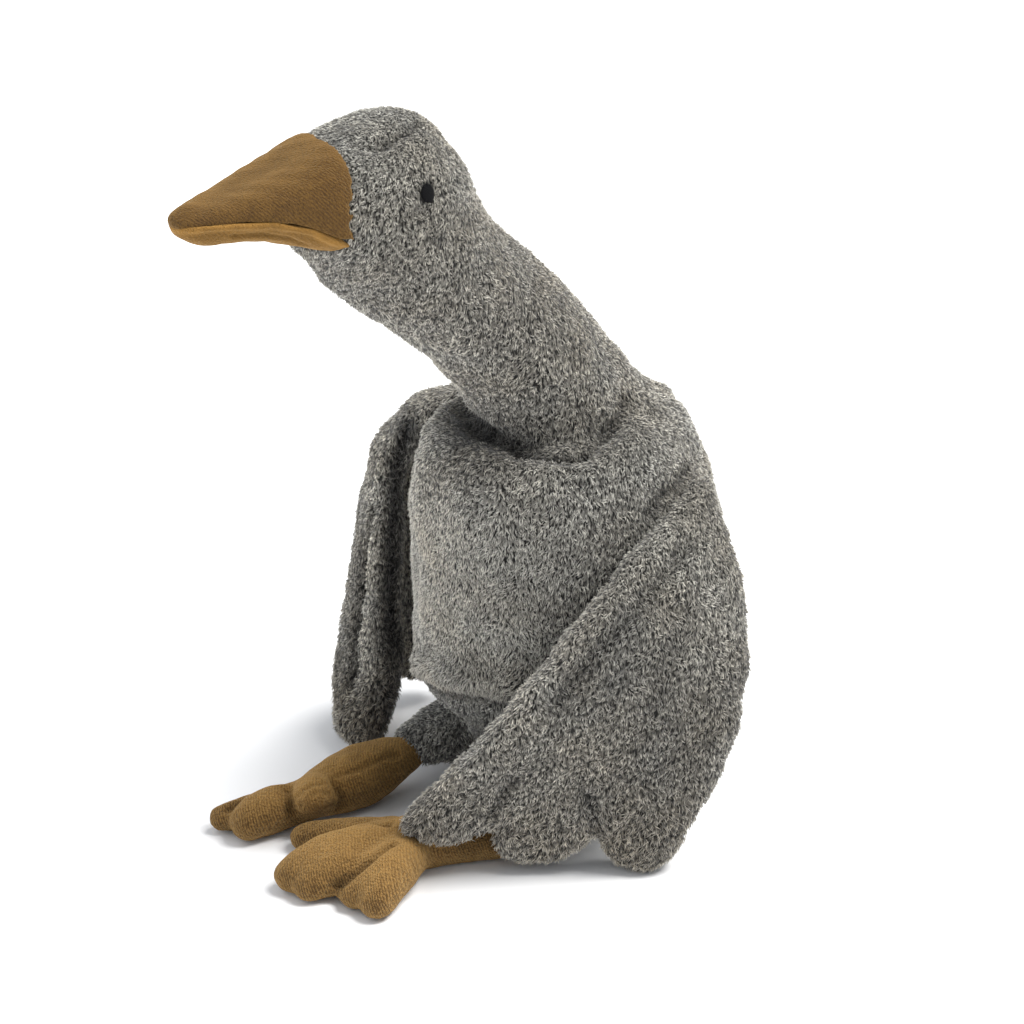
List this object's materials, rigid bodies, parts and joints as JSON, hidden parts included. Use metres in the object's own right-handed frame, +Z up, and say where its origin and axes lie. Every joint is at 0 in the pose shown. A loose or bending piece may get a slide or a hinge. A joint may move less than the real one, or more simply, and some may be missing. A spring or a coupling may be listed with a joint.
{
  "type": "plush goose soft toy",
  "caption": "Stuffed plush goose sitting upright with drooping lobed wings, a velour bill and velour webless feet stretched out in front.",
  "frame": {"origin": "on the floor under the centre of the toy's bounding box", "axes": "+Z up, the toy looks along -Y, and its own left side is +X"},
  "size_m": [0.3084, 0.3716, 0.467],
  "materials": {
    "plush": "warm grey curly cotton plush, short clumped pile",
    "velour": "ochre brown brushed velour with a fine knitted rib",
    "eye_thread": "black embroidery thread, satin stitch"
  },
  "bodies": {
    "root": {"trunk": "plush", "neck": "plush", "head": "plush", "tail": "plush", "wing_left": "plush", "wing_right": "plush", "thigh_left": "plush", "thigh_right": "plush", "beak_upper": "velour", "beak_lower": "velour", "foot_left": "velour", "foot_right": "velour", "eye_left": "eye_thread", "eye_right": "eye_thread"}
  },
  "joints": []
}
